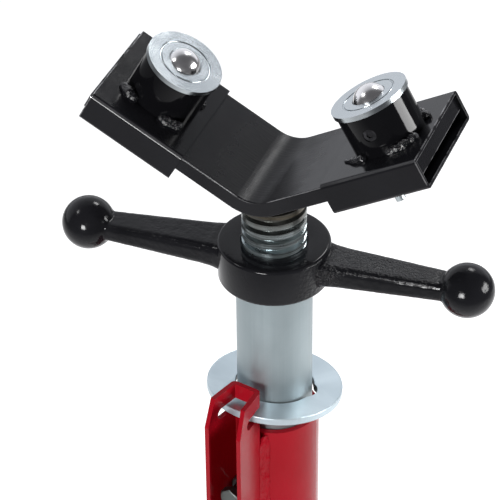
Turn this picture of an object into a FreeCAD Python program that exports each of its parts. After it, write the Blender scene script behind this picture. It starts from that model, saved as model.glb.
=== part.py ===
import FreeCAD, Part
import math
import os

from FreeCAD import Placement, Rotation, Vector

# Pipe stand: a tripod carries an outer tube, a sliding post is held in it by a tilting lock ring, and a
# handwheel nut on top of the post lifts a screw with a vee head that bears the pipe on two ball units.
# Millimetres. The origin is on the floor under the post's axis, +Z up, and X runs along the vee head.

# Clearances
running_gap = 0.1
slide_gap = 0.25
free_gap = 0.3
weld_gap = 0.05

# Allowances for cutting right through and for telling edges apart
overcut = 1.0
snap = 0.01
parallel = 1e-6

# Outer tube, standing on the tripod
tube_od = 57.0
tube_wall = 3.5
tube_bottom = 40.0
tube_over_leg_pivot = 158.4
cap_lip = 4.0
cap_spigot = 16.0
cap_wall = 3.0

# Sliding post
post_od = 48.0
post_wall = 3.0
post_bottom = 120.0
plug_flange = 6.0
plug_stem = 24.0
plug_bore = 26.0

# Lock ring, tilted on the post, with its front edge in the keeper's slot
ring_od = 87.0
ring_hole = 50.2
ring_thickness = 5.0
ring_tilt = 7.5
ring_height_over_tube = 16.8
ring_edge = 0.8
ring_notch_radius = 10.0
ring_notch_reach = 28.4
ring_notch_angle = 102.5

# Keeper channel for the ring, welded to the outer tube at the front
keeper_angle = -102.5
keeper_sheet = 3.0
keeper_web_radius = 34.3
keeper_front_radius = 60.2
keeper_web_half = 7.3
keeper_front_half = 10.4
keeper_bend = 3.5
keeper_top_over_ring = 20.8
keeper_slot_over_ring = 9.7
keeper_slot_radius = 51.0
keeper_nose_radius = 53.6
keeper_nose_drop = 19.8
keeper_length = 112.0
keeper_bead_radius = 4.5
keeper_bead_length = 84.0
keeper_bead_top = 1.5
keeper_bead_inset = 1.0

# Clamp screw through the keeper onto the post
clamp_drop = 57.6
clamp_dia = 8.0
clamp_shank_end = 49.0
clamp_head_height = 5.3
clamp_head_flats = 13.0
clamp_nut_height = 6.5

# Handwheel nut
hub_over_ring = 115.2
hub_dia = 70.0
hub_height = 26.0
hub_round = 2.5
recess_depth = 9.0
washer_thickness = 2.5
knob_dia = 33.6
knob_circle = 121.9
knob_drop = 12.4
handle_angle = 3.2
arm_root_width = 28.7
arm_root_height = 16.3
arm_tip_width = 18.5
arm_tip_height = 11.8
arm_round = 3.0
arm_root_sink = 6.0
arm_tip_sink = 8.5

# Lift screw
screw_dia = 40.0
screw_pitch = 7.0
groove_depth = 3.0
groove_mouth = 3.4
groove_floor = 2.0
groove_overrun = 1.0
screw_below_hub = 120.0
screw_end_chamfer = 2.0
nut_thread_gap = 0.3
nut_thread_root = 1.5
turns_per_bar = 5

# Vee head bar
vee_angle = 28.9
vee_apex_over_hub = 49.1
bar_width = 75.0
bar_thickness = 10.0
bar_bend_radius = 20.0
bar_edge_round = 1.0
bar_arm_length = 112.5
bar_left_extra = 3.0
screw_into_bar = 8.0

# Sleeves that carry the ball units along the bar
sleeve_length = 64.5
sleeve_overhang = 2.0
sleeve_wall = 2.0
sleeve_height = 20.3
sleeve_round = 2.6
sleeve_screw_dia = 6.0
sleeve_screw_back = 19.0
sleeve_screw_length = 18.8
sleeve_socket_flats = 3.0
sleeve_socket_depth = 3.0
sleeve_nut_flats = 10.0
sleeve_nut_height = 5.0

# Ball units, each welded on a little off the middle of its sleeve, outwards counted positive
left_unit_shift = -1.5
right_unit_shift = 1.7
cup_dia = 45.5
cup_floor = 5.0
cup_wall = 3.9
unit_top_over_bar = 31.5
flange_dia = 48.1
flange_thickness = 3.0
flange_groove_dia = 32.0
flange_groove_depth = 0.7
ball_dia = 22.2
ball_sink = 4.6
bearing_ball_dia = 4.0
bearing_ball_gap = 0.55
bearing_rows = 4
seat_below_ball = 2.3
spigot_depth = 1.6
grub_dia = 8.0
grub_angle = -86.0
grub_below_flange = 12.0
grub_socket_flats = 4.0
grub_socket_depth = 2.4

# Tripod legs
leg_names = ("front", "right", "rear")
leg_spacing = 120.0
leg_tube = 25.0
leg_wall = 2.0
leg_round = 3.0
leg_spread = 28.0
leg_folded = 5.0
leg_pivot_height = 470.0
leg_pivot_radius = 52.0
leg_pivot_dia = 10.0
leg_side_gap = 0.5
bracket_sheet = 3.0
bracket_above = 32.0
bracket_below = 34.0
bracket_front = 15.0
bracket_round = 8.0
foot_wall = 3.5
foot_sole = 6.0
foot_height = 46.0
foot_round = 4.0

# Braces and sliding collar
brace_length = 200.0
brace_width = 20.0
brace_thickness = 4.0
brace_bolt_dia = 8.0
collar_wall = 4.7
collar_height = 44.0
lug_thickness = 4.0
lug_reach = 10.0
lug_height = 38.0
lug_round = 8.0
collar_screw_dia = 8.0
collar_screw_turn = 60.0
collar_boss_dia = 18.0
collar_boss_length = 9.0
collar_shank_length = 14.0
collar_head_dia = 16.0
collar_head_length = 14.0
tee_dia = 6.0
tee_length = 56.0

# Hexagon fasteners
head_face_share = 0.95
head_chamfer = 30.0
bolt_stand_out = 2.0
pivot_flats = 17.0
pivot_head = 6.4
pivot_nut = 8.0
brace_flats = 13.0
brace_head = 5.3
brace_nut = 6.5

# Heights worked out from the sizes above
tube_top = leg_pivot_height + tube_over_leg_pivot
ring_centre = tube_top + ring_height_over_tube
hub_top = ring_centre + hub_over_ring
hub_bottom = hub_top - hub_height
apex = hub_top + vee_apex_over_hub
post_top = hub_bottom + recess_depth - washer_thickness - running_gap
tube_inner = tube_od / 2 - tube_wall
post_inner = post_od / 2 - post_wall
screw_bottom = hub_top - screw_below_hub

NODES = {}


def add(name, shape):
    """Keep a finished solid, or group of solids, under its node's name."""
    NODES[name] = shape


def drum(radius, z0, z1):
    """Upright cylinder on the post's axis."""
    return Part.makeCylinder(radius, z1 - z0, Vector(0, 0, z0))


def rod(radius, length, start, direction):
    """Cylinder from a start point along a direction."""
    return Part.makeCylinder(radius, length, start, direction)


def block(x0, x1, y0, y1, z0, z1):
    """Box between two corners."""
    return Part.makeBox(x1 - x0, y1 - y0, z1 - z0, Vector(x0, y0, z0))


def hexagon(flats, length, start, direction):
    """Hexagonal prism across its flats, from a start point along a direction."""
    radius = flats / math.sqrt(3)
    corners = []
    for step in range(7):
        turn = math.radians(60 * step)
        corners.append(Vector(radius * math.cos(turn), radius * math.sin(turn), 0))
    prism = Part.Face(Part.makePolygon(corners)).extrude(Vector(0, 0, length))
    prism.Placement = Placement(start, Rotation(Vector(0, 0, 1), direction))
    return prism


def bolt_head(flats, length, start, direction):
    """Hexagon head whose outer corners are turned off to a cone."""
    head = hexagon(flats, length, start, direction)
    face = flats / 2 * head_face_share
    root = face + length / math.tan(math.radians(head_chamfer))
    return head.common(Part.makeCone(root, face, length, start, direction))


def nut(flats, length, bore, start, direction):
    """Hexagon nut with a plain bore."""
    return bolt_head(flats, length, start, direction).cut(rod(bore / 2, length, start, direction))


def extruded(points, direction):
    """Prism of a closed outline of points."""
    return Part.Face(Part.makePolygon(points + points[:1])).extrude(direction)


def upright_edges(shape):
    """Edges of a shape that run along Z."""
    found = []
    for edge in shape.Edges:
        if isinstance(edge.Curve, Part.Line):
            if abs(abs(edge.Curve.Direction.z) - 1) < parallel:
                found.append(edge)
    return found


def cross_edges(shape, x):
    """Edges of a shape that run along Y at a distance from the post's axis."""
    found = []
    for edge in shape.Edges:
        if isinstance(edge.Curve, Part.Line):
            if abs(abs(edge.Curve.Direction.y) - 1) < parallel and abs(edge.CenterOfMass.x - x) < snap:
                found.append(edge)
    return found


def rounded_block(half_x, half_y, z0, z1, radius):
    """Box about the Z axis with rounded upright edges."""
    shape = block(-half_x, half_x, -half_y, half_y, z0, z1)
    return shape.makeFillet(radius, upright_edges(shape))


def turned_to(angle, shape):
    """Shape made along +X, turned about the post's axis to an angle in degrees."""
    return shape.transformed(Rotation(Vector(0, 0, 1), angle).toMatrix())


def helical_bars(section, z0, z1):
    """Bars of a section of (radius, height) points wound on the screw's pitch, end to end past z1."""
    rise = screw_pitch * turns_per_bar
    helix = Part.makeHelix(screw_pitch, rise, section[0][0])
    outline = Part.makePolygon([Vector(r, 0, z) for r, z in section + section[:1]])
    bar = Part.Wire(helix.Edges).makePipeShell([outline], True, True)
    bars = []
    for index in range(math.ceil((z1 - z0) / rise)):
        piece = bar.copy()
        piece.translate(Vector(0, 0, z0 + rise * index))
        bars.append(piece)
    return bars


def outer_tube():
    """Main tube, with the clamp screw's hole through its front wall."""
    shape = drum(tube_od / 2, tube_bottom, tube_top).cut(drum(tube_inner, tube_bottom, tube_top))
    hole = rod(clamp_dia / 2 + free_gap, tube_od, Vector(0, 0, ring_centre - clamp_drop), Vector(1, 0, 0))
    return shape.cut(turned_to(keeper_angle, hole))


def tube_end_cap():
    """Plastic plug that closes the outer tube's lower end."""
    lip = drum(tube_od / 2, tube_bottom - cap_lip, tube_bottom)
    spigot = drum(tube_inner - running_gap, tube_bottom, tube_bottom + cap_spigot)
    hollow = drum(tube_inner - running_gap - cap_wall, tube_bottom, tube_bottom + cap_spigot)
    return lip.fuse(spigot.cut(hollow)).removeSplitter()


def keeper_outline(z):
    """Plan of the keeper's channel at a height: its web faces the tube and its flanges splay outwards."""
    back = keeper_web_radius - keeper_sheet
    web = keeper_web_half
    front = keeper_front_half
    side = keeper_sheet
    plan = [(back, -web - side), (keeper_front_radius, -front - side), (keeper_front_radius, -front),
            (keeper_web_radius, -web), (keeper_web_radius, web), (keeper_front_radius, front),
            (keeper_front_radius, front + side), (back, web + side)]
    return [Vector(x, y, z) for x, y in plan]


def ring_hinge():
    """Radius and height of the line on the ring's underside about which it tilts in the keeper's slot."""
    tilt = math.radians(ring_tilt)
    radius = keeper_web_radius - keeper_sheet / 2
    along = (radius - ring_thickness / 2 * math.sin(tilt)) / math.cos(tilt)
    height = ring_centre + along * math.sin(tilt) - ring_thickness / 2 * math.cos(tilt)
    return radius, height


def ring_keeper():
    """Channel with a slot for the ring's edge, sloped noses and a hole for the clamp screw."""
    top = ring_centre + keeper_top_over_ring
    shape = extruded(keeper_outline(top - keeper_length), Vector(0, 0, keeper_length))
    web_back = keeper_web_radius - keeper_sheet
    for radius, face in ((keeper_bend, web_back), (keeper_bend - keeper_sheet, keeper_web_radius)):
        corners = [edge for edge in upright_edges(shape) if abs(edge.CenterOfMass.x - face) < snap]
        shape = shape.makeFillet(radius, corners)
    low = ring_hinge()[1] - free_gap
    high = ring_centre + keeper_slot_over_ring
    middle = (low + high) / 2
    end_radius = (high - low) / 2
    reach = keeper_front_half + keeper_sheet + overcut
    end = keeper_slot_radius - end_radius
    slot = block(keeper_web_radius - 2 * keeper_sheet, end, -reach, reach, low, high)
    slot_end = rod(end_radius, 2 * reach, Vector(end, -reach, middle), Vector(0, 1, 0))
    shape = shape.cut(slot.fuse(slot_end))
    for height, way in ((top, -1), (top - keeper_length, 1)):
        foot = height + way * keeper_nose_drop
        beyond = keeper_front_radius + overcut
        nose = [Vector(keeper_nose_radius, -reach, height), Vector(beyond, -reach, height),
                Vector(beyond, -reach, foot), Vector(keeper_front_radius, -reach, foot)]
        shape = shape.cut(extruded(nose, Vector(0, 2 * reach, 0)))
    level = Vector(0, 0, ring_centre - clamp_drop)
    hole = rod(clamp_dia / 2 + free_gap, keeper_web_radius + overcut, level, Vector(1, 0, 0))
    return turned_to(keeper_angle, shape.cut(hole))


def keeper_welds():
    """Two fat beads that join the keeper's back corners to the outer tube."""
    top = tube_top - keeper_bead_top
    bottom = top - keeper_bead_length
    beads = []
    for side in (-1, 1):
        offset = side * (keeper_web_half + keeper_sheet)
        centre = Vector(keeper_web_radius - keeper_sheet - keeper_bead_inset, offset, bottom)
        bead = Part.makeCylinder(keeper_bead_radius, top - bottom, centre)
        bead = turned_to(keeper_angle, bead)
        bead = bead.cut(drum(tube_od / 2, bottom, top)).cut(NODES["ring_keeper"])
        beads.append(max(bead.Solids, key=lambda solid: solid.Volume))
    return Part.makeCompound(beads)


def clamp_parts():
    """Hexagon clamp screw that bears on the post, and the nut welded to the keeper's web for it."""
    level = ring_centre - clamp_drop
    out = Vector(1, 0, 0)
    tip = post_od / 2 + free_gap
    shank = rod(clamp_dia / 2, clamp_shank_end - tip, Vector(tip, 0, level), out)
    head = bolt_head(clamp_head_flats, clamp_head_height, Vector(clamp_shank_end, 0, level), out)
    screw = shank.fuse(head).removeSplitter()
    bore = clamp_dia + 2 * running_gap
    welded = nut(clamp_head_flats, clamp_nut_height, bore, Vector(keeper_web_radius, 0, level), out)
    return turned_to(keeper_angle, screw), turned_to(keeper_angle, welded)


def lock_ring():
    """Flat ring on the post with a small notch in its hole, held tilted with its front edge high."""
    half = ring_thickness / 2
    shape = drum(ring_od / 2, -half, half).cut(drum(ring_hole / 2, -half, half))
    circles = [edge for edge in shape.Edges if isinstance(edge.Curve, Part.Circle)]
    shape = shape.makeFillet(ring_edge, circles)
    notch = Part.makeCylinder(ring_notch_radius, ring_thickness,
                              Vector(ring_notch_reach - ring_notch_radius, 0, -half))
    shape = shape.cut(turned_to(ring_notch_angle, notch))
    shape.Placement = Placement(Vector(0, 0, ring_centre), Rotation(Vector(0, 1, 0), -ring_tilt))
    return turned_to(keeper_angle, shape)


def post_tube():
    """Plain tube that slides in the outer tube."""
    return drum(post_od / 2, post_bottom, post_top).cut(drum(post_inner, post_bottom, post_top))


def thrust_washer():
    """Washer between the post's end and the handwheel's recess."""
    low = post_top
    high = post_top + washer_thickness
    return drum(post_od / 2, low, high).cut(drum(post_inner, low, high))


def guide_plug():
    """Plug under the post: its stem centres the post and its flange runs in the outer tube."""
    seat = post_bottom - running_gap
    flange = drum(tube_inner - slide_gap, seat - plug_flange, seat)
    stem = drum(post_inner - running_gap, seat, seat + plug_stem)
    return flange.fuse(stem).cut(drum(plug_bore / 2, seat - plug_flange, seat + plug_stem)).removeSplitter()


def groove_section(inset, base):
    """Section of the screw's groove, or of the nut's thread in it when drawn in by an inset."""
    outer = screw_dia / 2 + base
    floor = screw_dia / 2 - groove_depth + inset
    slope = (groove_mouth - groove_floor) / 2 / groove_depth
    wide = groove_mouth / 2 - inset + slope * base
    narrow = groove_floor / 2 - inset + slope * inset
    return [(floor, -narrow), (outer, -wide), (outer, wide), (floor, narrow)]


def rounded_section(width, height, radius, along):
    """Closed rounded rectangle across the handwheel's arm, at a distance from the axis."""
    half_y = width / 2
    half_z = height / 2
    corners = ((1, 1), (-1, 1), (-1, -1), (1, -1))
    edges = []
    last = None
    first = None
    for index, (side, level) in enumerate(corners):
        centre = Vector(along, side * (half_y - radius), level * (half_z - radius))
        start_turn = math.radians(90 * index)
        points = []
        for part in (0, 45, 90):
            turn = start_turn + math.radians(part)
            points.append(centre + Vector(0, radius * math.cos(turn), radius * math.sin(turn)))
        if last is not None:
            edges.append(Part.LineSegment(last, points[0]).toShape())
        else:
            first = points[0]
        edges.append(Part.Arc(*points).toShape())
        last = points[2]
    edges.append(Part.LineSegment(last, first).toShape())
    return Part.Wire(edges)


def handwheel():
    """Cast nut with two arms and ball ends, threaded inside and recessed below for the post's end."""
    hub = drum(hub_dia / 2, hub_bottom, hub_top)
    hub = hub.makeFillet(hub_round, [edge for edge in hub.Edges if isinstance(edge.Curve, Part.Circle)])
    level = hub_top - knob_drop
    shape = hub
    for turn in (0, 180):
        root = rounded_section(arm_root_width, arm_root_height, arm_round, hub_dia / 2 - arm_root_sink)
        tip = rounded_section(arm_tip_width, arm_tip_height, arm_round, knob_circle - arm_tip_sink)
        arm = Part.makeLoft([root, tip], True, True)
        arm.translate(Vector(0, 0, level))
        knob = Part.makeSphere(knob_dia / 2, Vector(knob_circle, 0, level))
        handle = arm.fuse(knob)
        shape = shape.fuse(turned_to(handle_angle + turn, handle))
    shape = shape.cut(drum(screw_dia / 2 + free_gap, hub_bottom, hub_top))
    recess_top = hub_bottom + recess_depth
    shape = shape.cut(drum(post_od / 2 + free_gap, hub_bottom, recess_top))
    below = math.floor((recess_top - screw_bottom) / screw_pitch) - 1
    start = screw_bottom + screw_pitch * below
    land = drum(hub_dia / 2, recess_top, hub_top)
    for thread in helical_bars(groove_section(nut_thread_gap, nut_thread_root), start, hub_top):
        shape = shape.fuse(thread.common(land))
    return shape


def v_bar():
    """Flat bar bent to a vee with a rounded bottom, its left arm a little longer."""
    slope = math.radians(vee_angle)
    centre = apex + bar_bend_radius / math.cos(slope)
    outer = bar_bend_radius + bar_thickness
    front = -bar_width / 2
    left_arm = bar_arm_length + bar_left_extra

    def at(side, along, down):
        x = along * math.cos(slope) + down * math.sin(slope)
        z = apex + along * math.sin(slope) - down * math.cos(slope)
        return Vector(side * x, front, z)

    def tangent(side, radius):
        return Vector(side * radius * math.sin(slope), front, centre - radius * math.cos(slope))

    def line(start, end):
        return Part.LineSegment(start, end).toShape()

    def bend(radius, side):
        low = Vector(0, front, centre - radius)
        return Part.Arc(tangent(side, radius), low, tangent(-side, radius)).toShape()

    edges = [line(at(1, bar_arm_length, 0), tangent(1, bar_bend_radius)), bend(bar_bend_radius, 1),
             line(tangent(-1, bar_bend_radius), at(-1, left_arm, 0)),
             line(at(-1, left_arm, 0), at(-1, left_arm, bar_thickness)),
             line(at(-1, left_arm, bar_thickness), tangent(-1, outer)), bend(outer, -1),
             line(tangent(1, outer), at(1, bar_arm_length, bar_thickness)),
             line(at(1, bar_arm_length, bar_thickness), at(1, bar_arm_length, 0))]
    bar = Part.Face(Part.Wire(edges)).extrude(Vector(0, bar_width, 0))
    rims = [edge for edge in bar.Edges if abs(abs(edge.CenterOfMass.y) - bar_width / 2) < snap]
    return bar.makeFillet(bar_edge_round, rims)


def lift_screw():
    """Threaded screw whose upper end is shaped to the bar's underside."""
    centre = apex + bar_bend_radius / math.cos(math.radians(vee_angle))
    underside = centre - bar_bend_radius - bar_thickness
    blank = drum(screw_dia / 2, screw_bottom, underside + screw_into_bar)
    circles = [edge for edge in blank.Edges if isinstance(edge.Curve, Part.Circle)]
    blank = blank.makeChamfer(screw_end_chamfer, [min(circles, key=lambda edge: edge.CenterOfMass.z)])
    bar = NODES["v_bar"].copy()
    bar.translate(Vector(0, 0, -weld_gap))
    shape = blank.cut(bar)
    section = groove_section(0.0, groove_overrun)
    for groove in helical_bars(section, screw_bottom - screw_pitch, blank.BoundBox.ZMax):
        shape = shape.cut(groove)
    return max(shape.Solids, key=lambda solid: solid.Volume)


def on_arm(side, shape):
    """Place a shape made with X along the arm, from the vee's apex, and Z square to the bar's top."""
    placed = shape.transformed(Rotation(Vector(0, 1, 0), -vee_angle).toMatrix())
    if side == "left":
        placed = placed.transformed(Rotation(Vector(0, 0, 1), 180).toMatrix())
    placed.translate(Vector(0, 0, apex))
    return placed


sleeve_start = bar_arm_length + sleeve_overhang - sleeve_length
unit_along = sleeve_start + sleeve_length / 2
sleeve_top = slide_gap + sleeve_wall
sleeve_bottom = sleeve_top - sleeve_height
unit_axis = Vector(0, 0, 1)
ball_centre = unit_top_over_bar - ball_sink
race_radius = ball_dia / 2 + bearing_ball_dia + 2 * weld_gap
cup_bore = cup_dia / 2 - cup_wall
cup_base = sleeve_top + cup_floor
seat_top = ball_centre - seat_below_ball


def unit_drum(radius, z0, z1):
    """Cylinder square to the bar, on the ball unit's axis."""
    return Part.makeCylinder(radius, z1 - z0, Vector(unit_along, 0, z0), unit_axis)


def sleeve():
    """Rectangular sleeve round the bar, with a hole below for its screw."""
    half = bar_width / 2 + slide_gap
    outer = block(sleeve_start, sleeve_start + sleeve_length, -half - sleeve_wall, half + sleeve_wall,
                  sleeve_bottom, sleeve_top)
    long_edges = [edge for edge in outer.Edges if abs(abs(edge.Curve.Direction.x) - 1) < parallel]
    outer = outer.makeFillet(sleeve_round, long_edges)
    inner = block(sleeve_start - overcut, sleeve_start + sleeve_length + overcut, -half, half,
                  sleeve_bottom + sleeve_wall, sleeve_top - sleeve_wall)
    hole = rod(sleeve_screw_dia / 2 + free_gap, 2 * sleeve_wall,
               Vector(unit_along, -sleeve_screw_back, sleeve_bottom - sleeve_wall), unit_axis)
    return outer.cut(inner).cut(hole)


def sleeve_fasteners():
    """Socket screw that presses the bar from below, and its nut welded under the sleeve."""
    tip = -bar_thickness - free_gap
    down = Vector(0, 0, -1)
    start = Vector(unit_along, -sleeve_screw_back, tip)
    nut_start = Vector(unit_along, -sleeve_screw_back, sleeve_bottom)
    socket_start = start + down * (sleeve_screw_length - sleeve_socket_depth)
    screw = rod(sleeve_screw_dia / 2, sleeve_screw_length, start, down)
    screw = screw.cut(hexagon(sleeve_socket_flats, sleeve_socket_depth, socket_start, down))
    bore = sleeve_screw_dia + 2 * running_gap
    return screw, nut(sleeve_nut_flats, sleeve_nut_height, bore, nut_start, down)


def grub_frame(shape):
    """Place a shape made along +Z from the cup's outer face inwards."""
    turn = math.radians(grub_angle)
    out = Vector(math.cos(turn), math.sin(turn), 0)
    level = unit_top_over_bar - flange_thickness - grub_below_flange
    start = Vector(unit_along, 0, level) + out * (cup_dia / 2)
    placed = shape.copy()
    placed.Placement = Placement(start, Rotation(Vector(0, 0, 1), out * -1)).multiply(shape.Placement)
    return placed


def ball_cup():
    """Black cup welded on the sleeve, bored for the ball unit and drilled for its grub screw."""
    top = unit_top_over_bar - flange_thickness
    shape = unit_drum(cup_dia / 2, sleeve_top, top).cut(unit_drum(cup_bore, cup_base, top))
    hole = Part.makeCylinder(grub_dia / 2 + weld_gap, 2 * cup_wall, Vector(0, 0, -cup_wall))
    return shape.cut(grub_frame(hole))


def grub_screw():
    """Socket grub screw in the cup's wall."""
    start = Vector(0, 0, grub_socket_depth / 2)
    depth = cup_wall - weld_gap - start.z
    shape = Part.makeCylinder(grub_dia / 2, depth, start)
    socket = hexagon(grub_socket_flats, grub_socket_depth / 2, start, Vector(0, 0, 1))
    return grub_frame(shape.cut(socket))


def ball_seat():
    """Hardened seat in the cup, hollowed for the ring of bearing balls."""
    shape = unit_drum(cup_bore - weld_gap, cup_base, seat_top)
    return shape.cut(Part.makeSphere(race_radius, Vector(unit_along, 0, ball_centre)))


def bearing_balls():
    """Rows of small balls between the load ball and its seat, as many in each row as its circle takes."""
    orbit = ball_dia / 2 + weld_gap + bearing_ball_dia / 2
    middle = Vector(unit_along, 0, ball_centre)
    pitch = bearing_ball_dia + bearing_ball_gap
    balls = []
    for row in range(bearing_rows):
        tilt = row * pitch / orbit
        low = Vector(math.sin(tilt), 0, -math.cos(tilt)) * orbit
        count = max(1, math.floor(2 * math.pi * low.x / pitch))
        for index in range(count):
            offset = Rotation(unit_axis, 360 * index / count).multVec(low)
            balls.append(Part.makeSphere(bearing_ball_dia / 2, middle + offset))
    return Part.makeCompound(balls)


def ball_cap():
    """Plated flange that holds the load ball down, with a spigot in the cup and a turned groove."""
    low = unit_top_over_bar - flange_thickness
    shape = unit_drum(flange_dia / 2, low, unit_top_over_bar)
    shape = shape.fuse(unit_drum(cup_bore - weld_gap, low - spigot_depth, low))
    shape = shape.cut(Part.makeSphere(ball_dia / 2 + slide_gap, Vector(unit_along, 0, ball_centre)))
    shape = shape.cut(unit_drum(race_radius, low - spigot_depth, ball_centre))
    top = Vector(unit_along, 0, unit_top_over_bar)
    return shape.cut(Part.makeTorus(flange_groove_dia / 2, flange_groove_depth, top)).removeSplitter()


def load_ball():
    """Polished ball that carries the pipe."""
    return Part.makeSphere(ball_dia / 2, Vector(unit_along, 0, ball_centre))


leg_half = leg_tube / 2
bracket_back = tube_od / 2 + weld_gap
bracket_web = bracket_back + bracket_sheet
bracket_half = leg_half + leg_side_gap
spread = math.radians(leg_spread)
tail_room = leg_pivot_radius - bracket_web - free_gap
leg_tail = (tail_room - leg_half * math.cos(spread)) / math.sin(spread)
brace_inner = leg_half + leg_side_gap
brace_outer = brace_inner + brace_thickness
collar_level = leg_pivot_height - 2 * brace_length * math.cos(spread)
pivot_clear = leg_pivot_dia / 2 + running_gap
brace_clear = brace_bolt_dia / 2 + running_gap


def fold_level(angle):
    """Height of the collar's pivots when the legs stand at an angle from upright."""
    return leg_pivot_height - 2 * brace_length * math.cos(math.radians(angle))


def slot_drop():
    """How far the braces' lower pivots run below a collar that follows the legs at a steady rate."""
    steps = 40
    drop = 0.0
    for step in range(steps + 1):
        share = step / steps
        angle = leg_spread + (leg_folded - leg_spread) * share
        steady = collar_level + (fold_level(leg_folded) - collar_level) * share
        drop = max(drop, steady - fold_level(angle))
    return drop


def along_leg(shape):
    """Place a shape made along -Z from the leg's pivot, turned out to the leg's spread."""
    placed = shape.copy()
    placed.Placement = Placement(Vector(leg_pivot_radius, 0, leg_pivot_height),
                                 Rotation(Vector(0, 1, 0), -leg_spread)).multiply(shape.Placement)
    return placed


def leg_bracket():
    """Channel welded to the outer tube, in which a leg turns and whose web stops it."""
    front = leg_pivot_radius + bracket_front
    low = leg_pivot_height - bracket_below
    high = leg_pivot_height + bracket_above
    outer = bracket_half + bracket_sheet
    shape = block(bracket_back, front, -outer, outer, low, high)
    shape = shape.cut(block(bracket_web, front + overcut, -bracket_half, bracket_half,
                            low - overcut, high + overcut))
    shape = shape.makeFillet(bracket_round, cross_edges(shape, front))
    hole = rod(pivot_clear, 2 * outer, Vector(leg_pivot_radius, -outer, leg_pivot_height), Vector(0, 1, 0))
    return shape.cut(hole)


def leg_reach():
    """Length along the leg from its pivot to the floor, at its middle line."""
    return leg_pivot_height / math.cos(spread)


def above_floor(height):
    """Large block from a height upwards, to cut the leg's foot level."""
    size = 4 * leg_pivot_height
    return block(-size, size, -size, size, height, size)


def leg():
    """Square leg tube, cut level at the foot, with holes for its pivot and for the braces' bolt."""
    length = leg_reach() + leg_tube
    outer = rounded_block(leg_half, leg_half, -length, leg_tail, leg_round)
    inner_half = leg_half - leg_wall
    inner_round = leg_round - leg_wall
    inner = rounded_block(inner_half, inner_half, -length - overcut, leg_tail + overcut, inner_round)
    shape = outer.cut(inner)
    for level, radius in ((0, pivot_clear), (-brace_length, brace_clear)):
        shape = shape.cut(rod(radius, leg_tube, Vector(0, -leg_half, level), Vector(0, 1, 0)))
    return along_leg(shape).common(above_floor(foot_sole))


def leg_foot():
    """Rubber boot on the leg's lower end, level on the floor."""
    length = leg_reach() + leg_tube
    half = leg_half + foot_wall
    outer = rounded_block(half, half, -length, -leg_reach() + foot_height, foot_round)
    socket = rounded_block(leg_half, leg_half, -length - overcut, leg_tail, leg_round)
    boot = along_leg(outer).common(above_floor(0))
    return boot.cut(along_leg(socket).common(above_floor(foot_sole)))


def cross_bolt(centre, dia, half_grip, flats, head, nut_height):
    """Bolt across a leg with its head on one side, and its nut on the other."""
    way = Vector(0, 1, 0)
    start = centre - way * half_grip
    shank = rod(dia / 2, 2 * half_grip + nut_height + bolt_stand_out, start, way)
    bolt = shank.fuse(bolt_head(flats, head, start, way * -1)).removeSplitter()
    return bolt, nut(flats, nut_height, dia + 2 * weld_gap, centre + way * half_grip, way)


def brace(side):
    """Flat bar from the leg's middle to the collar, with round ends, on one side of the leg."""
    y0 = brace_inner if side > 0 else -brace_outer
    across = Vector(0, brace_thickness, 0)
    half = brace_width / 2
    ends = (Vector(0, y0, 0), Vector(0, y0, -brace_length))
    shape = block(-half, half, y0, y0 + brace_thickness, -brace_length, 0)
    for end in ends:
        shape = shape.fuse(Part.makeCylinder(half, brace_thickness, end, across))
    shape = shape.removeSplitter()
    for end in ends:
        shape = shape.cut(Part.makeCylinder(brace_clear, brace_thickness, end, across))
    return shape


def at_brace(shape):
    """Place a shape made along -Z from the braces' upper pivot, leaning in to the collar."""
    knee = Vector(leg_pivot_radius + brace_length * math.sin(spread), 0,
                  leg_pivot_height - brace_length * math.cos(spread))
    placed = shape.copy()
    placed.Placement = Placement(knee, Rotation(Vector(0, 1, 0), leg_spread)).multiply(shape.Placement)
    return placed


def collar_lugs():
    """Two lugs for one leg's braces, slotted for the bolt's small run as the legs fold."""
    drop = slot_drop() + free_gap
    radius = brace_bolt_dia / 2 + free_gap
    tip = leg_pivot_radius + lug_reach
    top = collar_level + lug_height / 2 - drop / 2
    outer = brace_inner - leg_side_gap
    shape = block(tube_od / 2 + collar_wall / 2, tip, -outer, outer, top - lug_height, top)
    inner = outer - lug_thickness
    shape = shape.cut(block(0, tip + overcut, -inner, inner, top - lug_height - overcut, top + overcut))
    shape = shape.makeFillet(lug_round, cross_edges(shape, tip))
    way = Vector(0, 1, 0)
    for level in (collar_level, collar_level - drop):
        shape = shape.cut(rod(radius, 4 * leg_half, Vector(leg_pivot_radius, -2 * leg_half, level), way))
    slot = block(leg_pivot_radius - radius, leg_pivot_radius + radius, -2 * leg_half, 2 * leg_half,
                 collar_level - drop, collar_level)
    return shape.cut(slot)


def leg_angle(index):
    """Direction of a leg about the post's axis."""
    return keeper_angle + leg_spacing * index


def collar():
    """Sliding collar with three pairs of lugs and a boss for its clamp screw."""
    low = collar_level - collar_height / 2
    high = collar_level + collar_height / 2
    radius = tube_od / 2 + free_gap
    shape = drum(radius + collar_wall, low, high)
    for index in range(len(leg_names)):
        shape = shape.fuse(turned_to(leg_angle(index), collar_lugs()))
    boss_end = radius + collar_wall + collar_boss_length
    level = Vector(0, 0, collar_level)
    boss = rod(collar_boss_dia / 2, boss_end, level, Vector(1, 0, 0))
    shape = shape.fuse(turned_to(keeper_angle + collar_screw_turn, boss))
    hole = rod(collar_screw_dia / 2 + running_gap, boss_end + overcut, level, Vector(1, 0, 0))
    shape = shape.cut(turned_to(keeper_angle + collar_screw_turn, hole))
    return shape.cut(drum(radius, low, high)).removeSplitter()


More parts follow.
